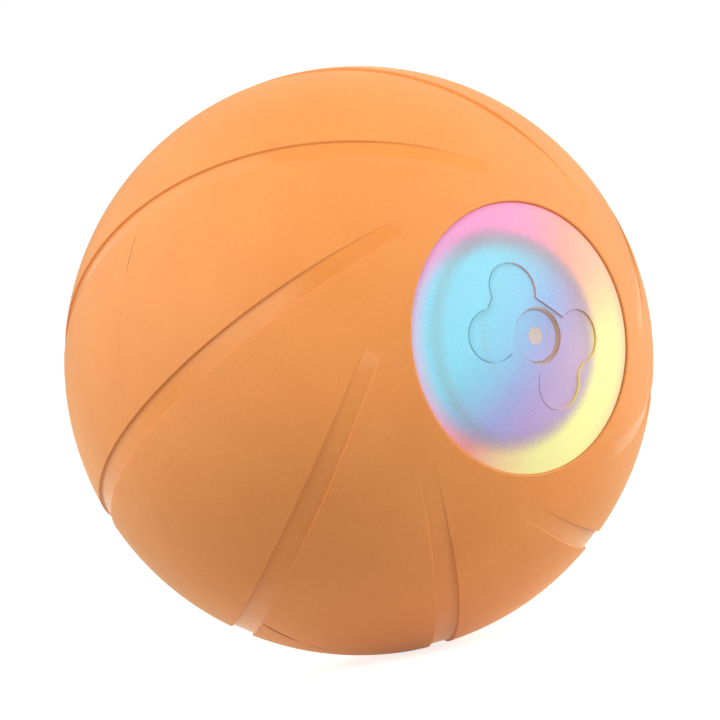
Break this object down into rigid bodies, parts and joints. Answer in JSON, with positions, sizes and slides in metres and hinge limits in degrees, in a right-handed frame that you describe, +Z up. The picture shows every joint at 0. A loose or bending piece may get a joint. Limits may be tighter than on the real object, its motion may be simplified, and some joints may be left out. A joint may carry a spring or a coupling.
{
  "type": "interactive dog ball",
  "caption": "Self-rolling dog ball: soft grooved cover over a split shell, frosted lit windows at the roll axis ends, a sunk power button and a motor-driven swinging weight inside.",
  "frame": {"origin": "the ball's centre, on its roll axis in the plane of the seam", "axes": "+X along the roll axis out of the window that holds the power button, +Z up"},
  "size_m": [0.0788, 0.08, 0.08],
  "materials": {
    "cover_rubber": "satin soft moulded rubber with a fine grain",
    "shell_plastic": "smooth satin moulded plastic",
    "light_frost": "frosted translucent plastic, lit from inside",
    "button_frost": "frosted translucent plastic",
    "button_dot": "frosted peach plastic",
    "seal_silicone": "soft matt silicone rubber",
    "core_plastic": "fine-textured moulded plastic",
    "board_laminate": "solder-masked laminate",
    "light_board_laminate": "white solder-masked laminate",
    "chip_black": "moulded epoxy",
    "light_body": "white moulded body with a clear lens",
    "switch_body": "moulded plastic",
    "port_steel": "drawn steel",
    "screw_steel": "plated steel",
    "weight_steel": "machined steel",
    "battery_wrap": "shrink-wrapped pouch",
    "battery_foam": "closed-cell foam",
    "lead_red": "insulated wire",
    "lead_black": "insulated wire",
    "motor_steel": "nickel-plated drawn steel",
    "motor_bell": "moulded nylon",
    "magnet_ferrite": "sintered ferrite",
    "rotor_copper": "enamelled copper winding",
    "terminal_brass": "stamped brass",
    "gear_white": "moulded acetal",
    "bush_bronze": "sintered bronze",
    "pin_steel": "ground steel"
  },
  "bodies": {
    "right_half": {"right_cover": "cover_rubber", "right_inner_shell": "shell_plastic", "right_light_cap": "light_frost", "right_cap_seal": "seal_silicone", "seam_seal": "seal_silicone", "case_screws": "screw_steel", "button_switch": "switch_body", "core_frame": "core_plastic", "core_end_plate": "core_plastic", "frame_screws": "screw_steel", "axle_flange": "core_plastic", "neck_screws": "screw_steel", "main_board": "board_laminate", "control_chips": "chip_black", "usb_port": "port_steel", "battery_cell": "battery_wrap", "battery_pad": "battery_foam", "battery_leads": "lead_red", "right_light_board": "light_board_laminate", "right_lights": "light_body", "right_board_screws": "screw_steel", "right_light_leads": "lead_black", "left_light_board": "light_board_laminate", "left_lights": "light_body", "left_board_screws": "screw_steel", "left_light_leads": "lead_black", "motor_can": "motor_steel", "motor_end_bell": "motor_bell", "motor_magnets": "magnet_ferrite", "motor_terminals": "terminal_brass", "motor_screws": "screw_steel", "motor_leads": "lead_red", "gear_pin": "pin_steel"},
    "left_half": {"left_cover": "cover_rubber", "left_inner_shell": "shell_plastic", "left_light_cap": "light_frost", "left_cap_seal": "seal_silicone"},
    "power_button": {"power_button": "button_frost", "button_light_dot": "button_dot", "button_seal": "seal_silicone", "switch_plunger": "switch_body"},
    "swing": {"swing_yoke": "core_plastic", "swing_arm": "core_plastic", "arm_screws": "screw_steel", "drive_gear": "gear_white", "swing_weight": "weight_steel", "weight_screws": "screw_steel", "right_bush": "bush_bronze", "left_bush": "bush_bronze"},
    "reduction_gear": {"reduction_gear": "gear_white"},
    "motor_rotor": {"motor_rotor": "rotor_copper", "motor_shaft": "pin_steel", "motor_pinion": "gear_white"}
  },
  "joints": [
    {"name": "left_half_pull", "type": "slide", "parent": "right_half", "child": "left_half", "axis": [-1, 0, 0], "range_m": [0, 0.045]},
    {"name": "power_button_press", "type": "slide", "parent": "right_half", "child": "power_button", "axis": [-1, 0, 0], "range_m": [0, 0.0004], "stiffness_N_per_m": 1500},
    {"name": "swing_turn", "type": "hinge", "parent": "right_half", "child": "swing", "pos_m": [0, 0, 0], "axis": [1, 0, 0], "continuous": true},
    {"name": "reduction_gear_turn", "type": "hinge", "parent": "right_half", "child": "reduction_gear", "pos_m": [0, 0.00789, 0.00969], "axis": [1, 0, 0], "continuous": true},
    {"name": "motor_turn", "type": "hinge", "parent": "right_half", "child": "motor_rotor", "pos_m": [0, 0, 0.011], "axis": [1, 0, 0], "continuous": true}
  ],
  "couplings": [
    {"joint": "reduction_gear_turn", "follows": "swing_turn", "ratio": -3.1667},
    {"joint": "motor_turn", "follows": "swing_turn", "ratio": 9.5}
  ]
}
